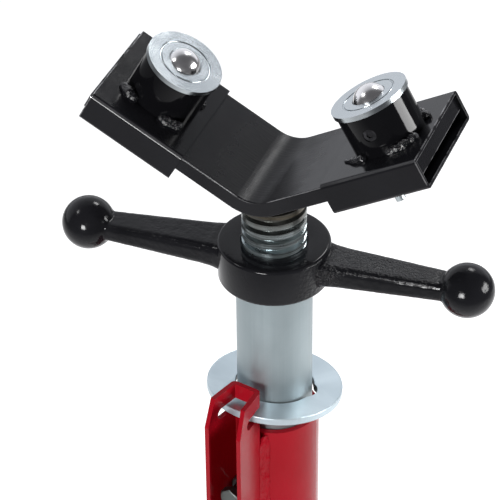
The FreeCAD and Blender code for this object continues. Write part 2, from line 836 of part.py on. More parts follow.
def collar_screw():
    """Tee-handled screw that clamps the collar on the outer tube."""
    out = Vector(1, 0, 0)
    tip = tube_od / 2 + free_gap
    shank_end = tip + collar_wall + collar_boss_length + collar_shank_length
    head_mid = shank_end + collar_head_length / 2
    shape = rod(collar_screw_dia / 2, shank_end - tip, Vector(tip, 0, collar_level), out)
    shape = shape.fuse(rod(collar_head_dia / 2, collar_head_length, Vector(shank_end, 0, collar_level), out))
    tee = rod(tee_dia / 2, tee_length, Vector(head_mid, 0, collar_level - tee_length / 2), Vector(0, 0, 1))
    return turned_to(keeper_angle + collar_screw_turn, shape.fuse(tee).removeSplitter())


def build_base():
    """Outer tube and what is welded or bolted to it."""
    add("outer_tube", outer_tube())
    add("tube_end_cap", tube_end_cap())
    add("ring_keeper", ring_keeper())
    add("keeper_welds", keeper_welds())
    screw, welded_nut = clamp_parts()
    add("clamp_screw", screw)
    add("clamp_nut", welded_nut)
    add("lock_ring", lock_ring())


def build_post():
    """Post, handwheel and lift screw."""
    add("post_tube", post_tube())
    add("thrust_washer", thrust_washer())
    add("post_guide_plug", guide_plug())
    add("handwheel", handwheel())
    add("v_bar", v_bar())
    add("lift_screw", lift_screw())


def build_head():
    """Sleeves and ball units, one on each arm of the vee."""
    screw, welded_nut = sleeve_fasteners()
    on_sleeve = {"sleeve": sleeve(), "sleeve_nut": welded_nut, "sleeve_screw": screw}
    on_cup = {"ball_cup": ball_cup(), "cup_grub_screw": grub_screw(), "ball_seat": ball_seat(),
              "bearing_balls": bearing_balls(), "ball_cap": ball_cap(), "load_ball": load_ball()}
    for side, shift in (("left", left_unit_shift), ("right", right_unit_shift)):
        for name, shape in on_sleeve.items():
            add(name + "_" + side, on_arm(side, shape))
        for name, shape in on_cup.items():
            add(name + "_" + side, on_arm(side, shape.translated(Vector(shift, 0, 0))))


def build_tripod():
    """Legs, brackets, braces and the sliding collar."""
    pivot = Vector(leg_pivot_radius, 0, leg_pivot_height)
    bolts = []
    nuts = []
    for index, name in enumerate(leg_names):
        angle = leg_angle(index)
        add("leg_bracket_" + name, turned_to(angle, leg_bracket()))
        bolt, lock_nut = cross_bolt(pivot, leg_pivot_dia, bracket_half + bracket_sheet, pivot_flats,
                                    pivot_head, pivot_nut)
        bolts.append(turned_to(angle, bolt))
        nuts.append(turned_to(angle, lock_nut))
        add("leg_" + name, turned_to(angle, leg()))
        add("leg_foot_" + name, turned_to(angle, leg_foot()))
        knee = cross_bolt(Vector(0, 0, -brace_length), brace_bolt_dia, brace_outer + free_gap, brace_flats,
                          brace_head, brace_nut)
        add("knee_bolt_" + name, turned_to(angle, Part.makeCompound([along_leg(piece) for piece in knee])))
        for side, word in ((-1, "near"), (1, "far")):
            add("brace_" + name + "_" + word, turned_to(angle, at_brace(brace(side))))
        low = cross_bolt(Vector(0, 0, -brace_length), brace_bolt_dia, brace_outer, brace_flats, brace_head,
                         brace_nut)
        add("collar_bolt_" + name, turned_to(angle, Part.makeCompound([at_brace(piece) for piece in low])))
    add("leg_pivot_bolts", Part.makeCompound(bolts))
    add("leg_pivot_nuts", Part.makeCompound(nuts))
    add("collar", collar())
    add("collar_screw", collar_screw())


build_base()
build_post()
build_head()
build_tripod()

os.makedirs("parts", exist_ok=True)
for node, solid in NODES.items():
    solid.exportStep("parts/" + node + ".step")
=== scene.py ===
import math

import bmesh
import bpy
from mathutils import Matrix, Vector, noise

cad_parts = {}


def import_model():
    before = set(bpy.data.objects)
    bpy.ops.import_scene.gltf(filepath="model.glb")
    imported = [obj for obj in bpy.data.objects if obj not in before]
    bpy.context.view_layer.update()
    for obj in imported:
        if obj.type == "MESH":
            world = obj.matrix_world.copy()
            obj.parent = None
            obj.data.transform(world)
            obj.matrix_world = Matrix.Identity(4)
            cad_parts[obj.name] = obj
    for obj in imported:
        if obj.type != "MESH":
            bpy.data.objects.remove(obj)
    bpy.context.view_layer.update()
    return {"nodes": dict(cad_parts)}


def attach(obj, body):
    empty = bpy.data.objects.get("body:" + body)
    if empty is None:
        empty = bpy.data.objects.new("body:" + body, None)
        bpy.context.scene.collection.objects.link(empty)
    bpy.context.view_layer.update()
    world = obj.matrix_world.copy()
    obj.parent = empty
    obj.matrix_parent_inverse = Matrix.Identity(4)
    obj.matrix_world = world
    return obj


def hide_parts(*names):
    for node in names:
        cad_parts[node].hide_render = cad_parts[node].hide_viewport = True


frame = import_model()
nodes = frame["nodes"]

MM = 0.001
SIDES = {"left": -1.0, "right": 1.0}

# Sizes of the stand that the looks and the added pieces follow, in millimetres and degrees

# Outer tube: directions of its legs and of the keeper about its axis, and its top
LEGS = {"front": -102.5, "right": 17.5, "rear": 137.5}
KEEPER_ANGLE = LEGS["front"]
TUBE_TOP = 628.4

# Lock ring
RING_CENTRE = 645.2
RING_TILT = 7.5

# Handwheel: hub with its bore and the recess below, arms as (width, height), and ball ends
HUB_TOP = 760.4
HUB_RADIUS = 35.1
HUB_HEIGHT = 26.0
BORE = 20.3
RECESS = 9.0
RECESS_RADIUS = 24.3
HANDLE_ANGLE = 3.2
KNOB_CIRCLE = 121.9
KNOB_RADIUS = 16.9
ARM_LEVEL = HUB_TOP - 12.4
ARM_START = 28.8
ARM_END = KNOB_CIRCLE - 7.0
ARM_ROOT = (28.7, 16.5)
ARM_TIP = (18.7, 12.0)
ARM_ROUND = 4.8

# Vee head: bar, screw and sleeves, with ends and ball units placed along its arms from the apex
APEX = 809.5
VEE = math.radians(28.9)
BAR_WIDTH = 75.0
BAR_THICKNESS = 10.0
BAR_ENDS = {"left": 115.5, "right": 112.5}
BEND_RADIUS = 20.0
SCREW_RADIUS = 20.0
SLEEVE_WIDTH = 79.5
SLEEVE_WALL = 2.0
SLEEVE_TOP = 2.25
SLEEVE_BOTTOM = -18.05
SLEEVE_ENDS = {"left": 114.5, "right": 114.5}
UNIT_PLACE = {"left": 80.75, "right": 83.95}

# Camera, fitted to the photograph: place in metres, lengths in pixels, sensor's width in millimetres
AZIMUTH, ELEVATION, ROLL = (math.radians(v) for v in (21.28, 36.24, -0.66))
EYE = Vector((0.4197, -1.1186, 1.6279))
FOCAL_PIXELS = 2409.0
FRAME_PIXELS = 500.0
SENSOR = 36.0

# Studio, in metres: the lamps' target, the painted pool of light on the floor, the backdrop's direction and
# edge
LAMP_TARGET = Vector((0, 0, 0.76))
FLOOR_SIZE = 8.0
FLOOR_GLOW = 0.62
FAR_GLOW = 0.05
FLOOR_TONE, FAR_TONE = 0.82, 0.3
POOL = (-0.4, 0.9, 0.0)
POOL_EDGE = (0.9, 3.2)
BACKDROP_TURN = 0.26
BACKDROP = (-math.sin(AZIMUTH + BACKDROP_TURN), math.cos(AZIMUTH + BACKDROP_TURN), 0.0)
BACKDROP_EDGE = (0.24, 0.46)
BACKDROP_TINT = (0.98, 1.0, 1.06)
BACKDROP_LEVELS = ((0.0, 1.0), (0.55, 0.8), (1.0, 0.3))
ROOM = (0.11, 0.11, 0.117)


def arm_point(sign, along, height, y):
    """Point in metres on an arm of the vee: along the bar, square above its top, and across it."""
    x = sign * (along * math.cos(VEE) - height * math.sin(VEE))
    z = APEX + along * math.sin(VEE) + height * math.cos(VEE)
    return Vector((x, y, z)) * MM


def polar(radius, angle, z):
    """Point in metres at a radius and an angle in degrees about the post's axis."""
    turn = math.radians(angle)
    return Vector((radius * math.cos(turn), radius * math.sin(turn), z)) * MM


def outward(angle):
    """Level unit vectors at an angle in degrees: away from the post's axis, and across that."""
    turn = math.radians(angle)
    return Vector((math.cos(turn), math.sin(turn), 0)), Vector((-math.sin(turn), math.cos(turn), 0))


class Nodes:
    """A node tree with short ways to add to it, its textures laid in one space."""

    def __init__(self, tree, space):
        self.tree = tree
        self.coords = tree.nodes.new("ShaderNodeTexCoord").outputs[space]

    def node(self, kind, **settings):
        """New node with some of its properties set."""
        made = self.tree.nodes.new(kind)
        for key, value in settings.items():
            setattr(made, key, value)
        return made

    def link(self, out, to):
        """Joins an output to a socket."""
        self.tree.links.new(out, to)

    def feed(self, socket, value):
        """Joins an output to a socket, or sets the socket to a constant."""
        if isinstance(value, bpy.types.NodeSocket):
            self.link(value, socket)
        else:
            socket.default_value = value

    def split(self, coords=None):
        """The x, y and z of coordinates."""
        made = self.node("ShaderNodeSeparateXYZ")
        self.link(coords or self.coords, made.inputs["Vector"])
        return made.outputs

    def vector(self, kind, other):
        """Number from the coordinates and a constant vector, such as their distance."""
        made = self.node("ShaderNodeVectorMath", operation=kind)
        self.link(self.coords, made.inputs[0])
        made.inputs[1].default_value = other
        return made.outputs["Value"]

    def math(self, kind, a, b=None):
        """Number from one or two numbers, each an output or a constant."""
        made = self.node("ShaderNodeMath", operation=kind)
        for socket, value in zip(made.inputs, (a, b)):
            if value is not None:
                self.feed(socket, value)
        return made.outputs["Value"]

    def product(self, first, *others):
        """All the numbers multiplied."""
        for other in others:
            first = self.math("MULTIPLY", first, other)
        return first

    def blend(self, first, second, share):
        """Two numbers blended: the second has the given share and the first has the rest."""
        rest = self.math("MULTIPLY", first, 1.0 - share)
        return self.math("ADD", rest, self.math("MULTIPLY", second, share))

    def spread(self, fac, low, high, start=0.3, end=0.7, kind="LINEAR"):
        """A number that runs from low to high as fac runs from start to end."""
        made = self.node("ShaderNodeMapRange", interpolation_type=kind)
        for name, value in (("From Min", start), ("From Max", end), ("To Min", low), ("To Max", high)):
            made.inputs[name].default_value = value
        self.link(fac, made.inputs["Value"])
        return made.outputs["Result"]

    def ramp(self, fac, stops):
        """Colour that runs through stops of (place, colour)."""
        made = self.node("ShaderNodeValToRGB")
        elements = made.color_ramp.elements
        while len(elements) < len(stops):
            elements.new(0.5)
        for element, (place, color) in zip(elements, stops):
            element.position = place
            element.color = (*color, 1.0)
        self.link(fac, made.inputs["Fac"])
        return made.outputs["Color"]

    def mix(self, fac, a, b):
        """Colour between a and b, each an output or a constant."""
        made = self.node("ShaderNodeMix", data_type="RGBA")
        for index, value in ((0, fac), (6, a), (7, b)):
            self.feed(made.inputs[index], (*value, 1.0) if isinstance(value, tuple) else value)
        return made.outputs[2]


class Shader(Nodes):
    """A principled material with short ways to add textures, all in the frame's own coordinates."""

    def __init__(self, name, color, metallic, roughness):
        self.material = bpy.data.materials.new(name)
        self.material.use_nodes = True
        super().__init__(self.material.node_tree, "Object")
        self.bsdf = self.tree.nodes["Principled BSDF"]
        self.bsdf.inputs["Base Color"].default_value = (*color, 1.0)
        self.bsdf.inputs["Metallic"].default_value = metallic
        self.bsdf.inputs["Roughness"].default_value = roughness
        self.normal = None

    def put(self, socket, out):
        """Joins an output to a socket of the material."""
        self.link(out, self.bsdf.inputs[socket])

    def shine(self, level):
        """Sets how strongly the material mirrors."""
        self.bsdf.inputs["Specular IOR Level"].default_value = level

    def mapped(self, scale=(1, 1, 1), location=(0, 0, 0), rotation=(0, 0, 0), coords=None):
        """Coordinates scaled, turned and moved."""
        made = self.node("ShaderNodeMapping")
        made.inputs["Scale"].default_value = scale
        made.inputs["Location"].default_value = location
        made.inputs["Rotation"].default_value = rotation
        self.link(coords or self.coords, made.inputs["Vector"])
        return made.outputs["Vector"]

    def on_arm(self, sign, origin):
        """Coordinates along an arm of the vee, across it and square to it, from a point in metres."""
        moved = self.mapped(location=tuple(-origin))
        return self.split(self.mapped(rotation=(0.0, sign * VEE, 0.0), coords=moved))

    def noise(self, scale, detail, roughness=0.5, coords=None, distortion=0.0):
        """Cloudy number about 0.5."""
        made = self.node("ShaderNodeTexNoise")
        made.inputs["Scale"].default_value = scale
        made.inputs["Detail"].default_value = detail
        made.inputs["Roughness"].default_value = roughness
        made.inputs["Distortion"].default_value = distortion
        self.link(coords or self.coords, made.inputs["Vector"])
        return made.outputs["Fac"]

    def rings(self, scale, detail, radius):
        """Number about 0.5 that changes with the radius alone."""
        made = self.node("ShaderNodeTexNoise", noise_dimensions="1D")
        made.inputs["Scale"].default_value = scale
        made.inputs["Detail"].default_value = detail
        self.link(radius, made.inputs["W"])
        return made.outputs["Fac"]

    def cells(self, scale):
        """Number that grows from the middle of each small cell."""
        made = self.node("ShaderNodeTexVoronoi")
        made.inputs["Scale"].default_value = scale
        self.link(self.coords, made.inputs["Vector"])
        return made.outputs["Distance"]

    def patches(self, scale, detail, dark, light, end=0.7):
        """Colour that changes in patches between dark and light."""
        return self.ramp(self.noise(scale, detail), [(0.3, dark), (end, light)])

    def radius(self, x, y):
        """Distance from the axis across x and y."""
        squares = self.math("ADD", self.math("MULTIPLY", x, x), self.math("MULTIPLY", y, y))
        return self.math("POWER", squares, 0.5)

    def rise(self, length, start, end):
        """Mask that runs from 0 to 1 between two lengths in millimetres."""
        return self.spread(length, 0.0, 1.0, start * MM, end * MM)

    def fall(self, length, start, end):
        """Mask that runs from 1 to 0 between two lengths in millimetres."""
        return self.spread(length, 1.0, 0.0, start * MM, end * MM)

    def bump(self, height, distance):
        """Adds relief to the relief so far, with its depth in metres."""
        made = self.node("ShaderNodeBump")
        made.inputs["Strength"].default_value = 1.0
        made.inputs["Distance"].default_value = distance
        self.link(height, made.inputs["Height"])
        if self.normal is not None:
            self.link(self.normal, made.inputs["Normal"])
        self.normal = made.outputs["Normal"]
        self.put("Normal", self.normal)


def keeper_channel_shade(s):
    """Mask of the inside of the keeper's channel, with its splayed walls, below the ring's slot, where
    painted shade darkens the red.
    """
    wall_splay = 0.12
    out, across, level = s.split(s.mapped(rotation=(0.0, 0.0, -math.radians(KEEPER_ANGLE))))
    from_middle = s.math("SUBTRACT", s.math("ABSOLUTE", across), s.math("MULTIPLY", out, wall_splay))
    between_walls = s.fall(from_middle, 3.9, 5.0)
    clear_of_tube, behind_nose = s.rise(out, 32.5, 34.0), s.fall(out, 58.0, 60.0)
    above_foot, below_slot = s.rise(level, 520.0, 545.0), s.fall(level, 634.0, 652.0)
    return s.product(between_walls, clear_of_tube, behind_nose, above_foot, below_slot)


def red_enamel(name, shine, grain, peel):
    """Glossy red enamel with slow changes of depth, over smooth steel or a rippled run of weld.
    It is painted darker inside the keeper's channel, as painted shade."""
    s = Shader(name, (0.30, 0.0045, 0.012), 0.0, 0.2)
    color = s.patches(22.0, 3.0, (0.275, 0.004, 0.010), (0.325, 0.005, 0.014), 0.72)
    # painted shade: the red is mixed to a much darker red inside the keeper's channel
    s.put("Base Color", s.mix(keeper_channel_shade(s), color, (0.165, 0.0008, 0.003)))
    s.put("Roughness", s.spread(s.noise(60.0, 3.0), 0.12, 0.22))
    s.shine(shine)
    s.bump(s.noise(grain, 2.0), peel)
    return s.material


def blue_black(depth):
    """Nearly black colour with the faint blue of enamel."""
    return (depth, depth, depth * 1.2)


def black_paint(name, depth, rough, peel, shine, wear_and_highlight=None, bend=0.0):
    """Black baked enamel: nearly black, glossy, with a fine orange peel. Where asked for, a mask paints
    bright grey metal on it: worn bare on its open ends, with painted highlight there too, and painted
    highlight lines along its upper long edges; it is duller at the vee's bend and glossier at the bar's
    ends."""
    s = Shader(name, blue_black(depth), 0.0, rough[0])
    color = s.patches(30.0, 4.0, blue_black(depth * 0.8), blue_black(depth * 1.2), 0.75)
    gloss = s.spread(s.noise(90.0, 4.0), rough[0], rough[1])
    if wear_and_highlight:
        # painted highlight and wear: bright grey metal mixed in along the masked edges
        worn_and_highlight = wear_and_highlight(s)
        color = s.mix(worn_and_highlight, color, (0.42, 0.42, 0.43))
        s.put("Metallic", worn_and_highlight)
    if bend:
        x = s.math("ABSOLUTE", s.split()[0])
        stretched = s.fall(x, 14.0, 36.0)
        smoother_ends = s.spread(x, 1.0, 0.35, 94.5 * MM, 97.0 * MM)
        gloss = s.math("ADD", gloss, s.math("MULTIPLY", stretched, bend))
        gloss = s.math("MULTIPLY", gloss, smoother_ends)
        drawn = s.noise(900.0, 2.0, 0.5, s.mapped((0.12, 1.0, 0.12)))
        s.bump(s.math("MULTIPLY", drawn, stretched), 0.00012)
    s.put("Base Color", color)
    s.put("Roughness", gloss)
    s.shine(shine)
    s.bump(s.noise(480.0, 2.5), peel)
    return s.material


def worn_ends_and_edge_highlights(ends, width, top, bottom, corner, shown, wall=0.0):
    """Mask of the bright edges of a piece on the vee's arms: its open ends, worn bare and given a painted
    highlight, also round the inside of its wall if it is hollow, and painted highlight lines along its
    upper long edges, of a corner's size and strength."""
    def mask(s):
        end_rims, edge_highlights = [], []
        for side, sign in SIDES.items():
            x, y, h = s.on_arm(sign, arm_point(sign, 0.0, 0.0, 0.0))
            along = s.math("MULTIPLY", x, sign)
            below_top = s.math("SUBTRACT", top * MM, h)
            above_bottom = s.math("SUBTRACT", h, bottom * MM)
            across = s.math("SUBTRACT", width / 2 * MM, s.math("ABSOLUTE", y))
            depth = s.math("MINIMUM", across, s.math("MINIMUM", below_top, above_bottom))
            rim = s.fall(depth, 0.25, 0.6)
            if wall:
                inner = s.math("ABSOLUTE", s.math("SUBTRACT", depth, wall * MM))
                rim = s.math("MAXIMUM", rim, s.fall(inner, 0.2, 0.45))
            # open ends: worn bare, with a painted highlight
            end_rims.append(s.math("MULTIPLY", s.rise(along, ends[side] - 0.7, ends[side] - 0.3), rim))
            # painted highlight: a bright line along the rounded upper long edge
            edge = s.fall(s.math("ADD", across, below_top), 0.61 * corner, 0.67 * corner)
            edge_highlights.append(s.math("MULTIPLY", edge, s.rise(along, 10.0, 14.0)))
        broken = s.spread(s.noise(170.0, 3.0), 0.0, 0.8, 0.38, 0.62)
        thin = s.spread(s.noise(45.0, 3.0), 0.4 * shown, shown, 0.35, 0.6)
        return s.math("MAXIMUM", s.math("MULTIPLY", s.math("MAXIMUM", *end_rims), broken),
                      s.math("MULTIPLY", s.math("MAXIMUM", *edge_highlights), thin))
    return mask


def black_weld():
    """Weld metal under black enamel: glossy, with the small ripples and spatter of a hand run."""
    s = Shader("black_weld", (0.006, 0.006, 0.007), 0.0, 0.08)
    s.put("Base Color", s.patches(60.0, 4.0, (0.004, 0.004, 0.005), (0.009, 0.009, 0.011), 0.75))
    s.put("Roughness", s.spread(s.noise(300.0, 3.0), 0.04, 0.11))
    s.shine(0.65)
    s.bump(s.noise(520.0, 3.0, 0.6), 0.0009)
    return s.material


def black_casting():
    """Black enamel on the handwheel: sand-cast skin on the arms, grainy on their tops and most on the
    right one and at its root, and smooth on the hub and the balls."""
    s = Shader("black_casting", (0.008, 0.008, 0.0095), 0.0, 0.14)
    x, y, z = s.split()
    radius = s.radius(x, y)
    before_ball = s.spread(radius, 1.0, 0.12, 100.0 * MM, 110.0 * MM)
    arm = s.math("MULTIPLY", s.rise(radius, 35.0, 40.0), before_ball)
    top = s.rise(z, ARM_LEVEL + 4.2, ARM_LEVEL + 5.6)
    right_arm = s.rise(x, 20.0, 30.0)
    grain = s.product(arm, top, s.spread(right_arm, 0.3, 1.0, 0.0, 1.0))
    by_hub = s.math("MULTIPLY", s.fall(radius, 41.0, 52.0), s.rise(radius, 34.5, 36.5))
    root = s.product(right_arm, by_hub, s.fall(y, -12.0, -4.0))
    s.put("Base Color", s.patches(35.0, 4.0, (0.0065, 0.0065, 0.0078), (0.0105, 0.0105, 0.0125), 0.75))
    s.put("Roughness", s.spread(s.noise(140.0, 3.0), 0.08, 0.17))
    s.shine(0.2)
    s.bump(s.math("MULTIPLY", s.noise(230.0, 2.0), arm), 0.0002)
    s.bump(s.math("MULTIPLY", s.noise(640.0, 3.0, 0.6), grain), 0.0007)
    s.bump(s.math("MULTIPLY", s.noise(420.0, 3.0, 0.6), root), 0.0022)
    s.bump(s.noise(520.0, 2.0), 0.00005)
    return s.material


def zinc(name, grain, tint=(1.0, 1.0, 1.0), rough=(0.3, 0.42), metal=1.0):
    """Bright zinc plate: pale blue-grey metal with cloudy patches and fine drawn lines."""
    light = tuple(v * t for v, t in zip((0.56, 0.62, 0.64), tint))
    dark = tuple(v * t for v, t in zip((0.47, 0.53, 0.55), tint))
    s = Shader(name, light, metal, 0.3)
    cloud = s.noise(26.0, 4.0, 0.55, distortion=0.6)
    lines = s.noise(90.0, 3.0, 0.6, s.mapped(grain))
    s.put("Base Color", s.ramp(s.blend(cloud, lines, 0.3), [(0.34, dark), (0.64, light)]))
    s.put("Roughness", s.spread(s.blend(cloud, lines, 0.5), rough[0], rough[1]))
    s.bump(lines, 0.00003)
    return s.material


def ring_zinc():
    """Plate on the lock ring, with painted shade, nearly black, on the wall of its hole and in the notch.
    """
    light, dark, hole_shade = (0.57, 0.66, 0.71), (0.48, 0.57, 0.62), (0.012, 0.012, 0.012)
    s = Shader("zinc_ring", light, 0.7, 0.3)
    turned = s.mapped(location=(0.0, 0.0, -RING_CENTRE * MM),
                      rotation=(0.0, 0.0, -math.radians(KEEPER_ANGLE)))
    x, y, h = s.split(s.mapped(rotation=(0.0, math.radians(RING_TILT), 0.0), coords=turned))
    radius = s.radius(x, y)
    # painted shade: mask of the hole's wall and the notch, which are coloured nearly black
    hole = s.math("MULTIPLY", s.fall(radius, 34.0, 36.0), s.fall(h, 1.9, 2.3))
    cloud = s.noise(26.0, 4.0, 0.55, distortion=0.6)
    s.put("Base Color", s.mix(hole, s.ramp(cloud, [(0.34, dark), (0.64, light)]), hole_shade))
    s.put("Roughness", s.spread(cloud, 0.3, 0.42))
    sheared = s.noise(500.0, 3.0, 0.6, s.mapped((1, 1, 0.25)))
    s.bump(s.math("MULTIPLY", s.rise(radius, 42.5, 43.1), sheared), 0.0003)
    s.bump(s.noise(420.0, 3.0), 0.00003)
    return s.material


def screw_zinc():
    """Zinc on the screw: brown and dark by the weld under the bar, cleaner below, with dark tool lines and
    a little painted shade in the thread's roots.
    """
    s = Shader("screw_zinc", (0.5, 0.52, 0.5), 0.92, 0.32)
    x, y, z = s.split()
    level = s.math("ADD", z, s.math("MULTIPLY", s.noise(60.0, 3.0), 12.0 * MM))
    heat = s.rise(level, 766.0, 796.0)
    plate = s.patches(70.0, 4.0, (0.40, 0.47, 0.49), (0.62, 0.71, 0.74))
    burnt = s.patches(90.0, 4.0, (0.040, 0.035, 0.025), (0.12, 0.105, 0.08))
    lines = s.noise(1.0, 2.0, 0.5, s.mapped((14.0, 14.0, 1200.0)))
    # painted shade: the roots of the thread are darkened a little
    groove_shade = s.math("MULTIPLY", s.fall(s.radius(x, y), 17.1, 18.2), 0.1)
    dark = s.math("MAXIMUM", groove_shade, s.spread(lines, 0.7, 0.0, 0.40, 0.52))
    s.put("Base Color", s.mix(dark, s.mix(heat, plate, burnt), (0.06, 0.06, 0.058)))
    s.put("Roughness", s.spread(s.noise(160.0, 3.0), 0.24, 0.38))
    s.bump(lines, 0.00016)
    s.bump(s.noise(700.0, 2.0), 0.00005)
    return s.material


def turned_zinc(side):
    """Plate on a turned cap: concentric tool lines about the ball unit's axis."""
    s = Shader("turned_zinc_" + side, (0.62, 0.67, 0.69), 1.0, 0.26)
    x, y, _ = s.on_arm(SIDES[side], arm_point(SIDES[side], UNIT_PLACE[side], 0.0, 0.0))
    lines = s.rings(1100.0, 2.0, s.radius(x, y))
    cloud = s.noise(55.0, 3.0)
    stops = [(0.35, (0.46, 0.50, 0.52)), (0.65, (0.52, 0.56, 0.58))]
    s.put("Base Color", s.ramp(s.blend(lines, cloud, 0.85), stops))
    s.put("Roughness", s.spread(cloud, 0.18, 0.28))
    s.bump(lines, 0.000006)
    return s.material


def polished_steel():
    """Mirror-polished balls with faint smears."""
    s = Shader("polished_steel", (0.8, 0.79, 0.79), 1.0, 0.05)
    s.put("Base Color", s.patches(120.0, 3.0, (0.80, 0.79, 0.79), (0.90, 0.89, 0.89)))
    s.put("Roughness", s.spread(s.noise(240.0, 4.0), 0.16, 0.24))
    return s.material


def dark_steel():
    """Oiled, blackened steel of the seats and grub screws."""
    s = Shader("dark_steel", (0.12, 0.12, 0.125), 1.0, 0.4)
    s.put("Base Color", s.patches(200.0, 3.0, (0.02, 0.02, 0.022), (0.06, 0.06, 0.065)))
    s.put("Roughness", s.spread(s.noise(300.0, 3.0), 0.3, 0.5))
    s.bump(s.noise(900.0, 2.0), 0.00004)
    return s.material


def rubber():
    """Matt black moulded rubber with a dusty bloom."""
    s = Shader("foot_rubber", (0.02, 0.02, 0.02), 0.0, 0.8)
    s.put("Base Color", s.patches(45.0, 4.0, (0.012, 0.012, 0.012), (0.032, 0.031, 0.030), 0.75))
    s.put("Roughness", s.spread(s.noise(200.0, 3.0), 0.7, 0.92))
    s.bump(s.noise(1100.0, 2.0), 0.00012)
    return s.material


def plastic(name, dark, light):
    """Moulded plastic with a fine spark-eroded grain."""
    s = Shader(name, light, 0.0, 0.5)
    s.put("Base Color", s.patches(40.0, 3.0, dark, light))
    s.put("Roughness", s.spread(s.noise(150.0, 3.0), 0.42, 0.6))
    s.bump(s.cells(900.0), 0.00006)
    return s.material


def smooth_shaded(mesh):
    """Shades all faces of a mesh smooth."""
    for face in mesh.polygons:
        face.use_smooth = True


def made_object(name, bm, material):
    """New object from a bmesh, smooth shaded."""
    mesh = bpy.data.meshes.new(name)
    bm.to_mesh(mesh)
    bm.free()
    smooth_shaded(mesh)
    obj = bpy.data.objects.new(name, mesh)
    bpy.context.scene.collection.objects.link(obj)
    mesh.materials.append(material)
    return obj


def baked(obj):
    """Applies an object's modifiers to its mesh."""
    graph = bpy.context.evaluated_depsgraph_get()
    mesh = bpy.data.meshes.new_from_object(obj.evaluated_get(graph))
    old = obj.data
    obj.modifiers.clear()
    obj.data = mesh
    bpy.data.meshes.remove(old)
    smooth_shaded(mesh)


def blended(obj, voxel, rounds):
    """Welds overlapping forms into one skin and softens the creases between them."""
    remesh = obj.modifiers.new("skin", "REMESH")
    remesh.mode = "VOXEL"
    remesh.voxel_size = voxel
    soft = obj.modifiers.new("soft", "SMOOTH")
    soft.factor = 0.5
    soft.iterations = rounds
    baked(obj)


def ball(bm, centre, radius, subdivisions=3):
    """Adds a ball to a bmesh."""
    place = Matrix.Translation(centre)
    bmesh.ops.create_icosphere(bm, subdivisions=subdivisions, radius=radius, matrix=place)


def loft(bm, sections):
    """Closed skin through sections of equally many points."""
    rings = [[bm.verts.new(p) for p in section] for section in sections]
    count = len(rings[0])
    for a, b in zip(rings, rings[1:]):
        for i in range(count):
            bm.faces.new((a[i], a[(i + 1) % count], b[(i + 1) % count], b[i]))
    bm.faces.new(rings[0][::-1])
    bm.faces.new(rings[-1])
    bmesh.ops.recalc_face_normals(bm, faces=bm.faces[:])


def lathe(bm, profile, segments=180):
    """Ring turned about the post's axis from a closed profile of (radius, level) in millimetres."""
    rows = [[bm.verts.new(polar(radius, 360.0 * i / segments, level)) for i in range(segments)]
            for radius, level in profile]
    for a, b in zip(rows, rows[1:] + rows[:1]):
        for i in range(segments):
            bm.faces.new((a[i], a[(i + 1) % segments], b[(i + 1) % segments], b[i]))


def rounded_rectangle(width, height, radius, steps=5):
    """Points of a rounded rectangle about the origin, as (across, up)."""
    points = []
    for index, (side, level) in enumerate(((1, 1), (-1, 1), (-1, -1), (1, -1))):
        for step in range(steps + 1):
            turn = math.radians(90 * index + 90 * step / steps)
            points.append((side * (width / 2 - radius) + radius * math.cos(turn),
                           level * (height / 2 - radius) + radius * math.sin(turn)))
    return points


def rounded(corner, before, after, radius, steps=6):
    """Points that round one corner of a profile, both of its sides square to the axis or along it."""
    points = []
    start = Vector(corner) + (Vector(before) - Vector(corner)).normalized() * radius
    end = Vector(corner) + (Vector(after) - Vector(corner)).normalized() * radius
    middle = start + end - Vector(corner)
    for step in range(steps + 1):
        turn = math.radians(90.0 * step / steps)
        points.append(middle + (start - middle) * math.cos(turn) + (end - middle) * math.sin(turn))
    return points


def uneven(seed, index, amount):
    """Steady pseudo-random number about 1 for the unevenness of a hand weld."""
    return 1.0 + amount * noise.noise(Vector((seed * 3.7, index * 0.83, 1.9)))


def lumps(name, spots, material, body, voxel, rounds):
    """Run of weld metal: a row of overlapping blobs in one skin, riding on a body."""
    bm = bmesh.new()
    for centre, radius in spots:
        ball(bm, centre, radius, subdivisions=2)
    obj = made_object(name, bm, material)
    blended(obj, voxel, rounds)
    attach(obj, body)


def cast_arm(bm, turn, extra):
    """Adds one arm of the handwheel with its ball, flared at the hub. Its root is wider by extra,
    more on one side than on the other."""
    steps, flare_amount, flare_share = 12, 0.16, 0.16
    ball_radius = KNOB_RADIUS * MM * 1.004  # the skin over it comes out a little smaller
    spin = Matrix.Rotation(math.radians(HANDLE_ANGLE + turn), 4, "Z")
    sections = []
    for share in [i / steps for i in range(steps + 1)]:
        reach = ARM_START + (ARM_END - ARM_START) * share
        flare = 1.0 + flare_amount * max(0.0, 1.0 - share / flare_share) ** 2
        width = (ARM_ROOT[0] + (ARM_TIP[0] - ARM_ROOT[0]) * share) * flare + extra * (1.0 - share)
        height = (ARM_ROOT[1] + (ARM_TIP[1] - ARM_ROOT[1]) * share) * flare
        shift = -0.4 * extra * (1.0 - share)
        sections.append([spin @ Vector((reach * MM, (a + shift) * MM, (ARM_LEVEL + b) * MM))
                         for a, b in rounded_rectangle(width, height, ARM_ROUND * height / ARM_ROOT[1])])
    arm = bmesh.new()
    loft(arm, sections)
    ball(arm, spin @ Vector((KNOB_CIRCLE * MM, 0, ARM_LEVEL * MM)), ball_radius, subdivisions=5)
    part = bpy.data.meshes.new("arm")
    arm.to_mesh(part)
    arm.free()
    bm.from_mesh(part)
    bpy.data.meshes.remove(part)


def root_lumps(bm):
    """Adds the lumps of metal at the root of the right arm, each at a reach, across and up from it."""
    radius = 2.1
    places = ((35.2, -12.6, 4.6), (36.0, -12.2, 1.4), (34.8, -13.2, -1.6))
    spin = Matrix.Rotation(math.radians(HANDLE_ANGLE), 4, "Z")
    for index, (reach, across, up) in enumerate(places):
        centre = spin @ Vector((reach * MM, across * MM, (ARM_LEVEL + up) * MM))
        ball(bm, centre, radius * MM * uneven(5, index, 0.6))


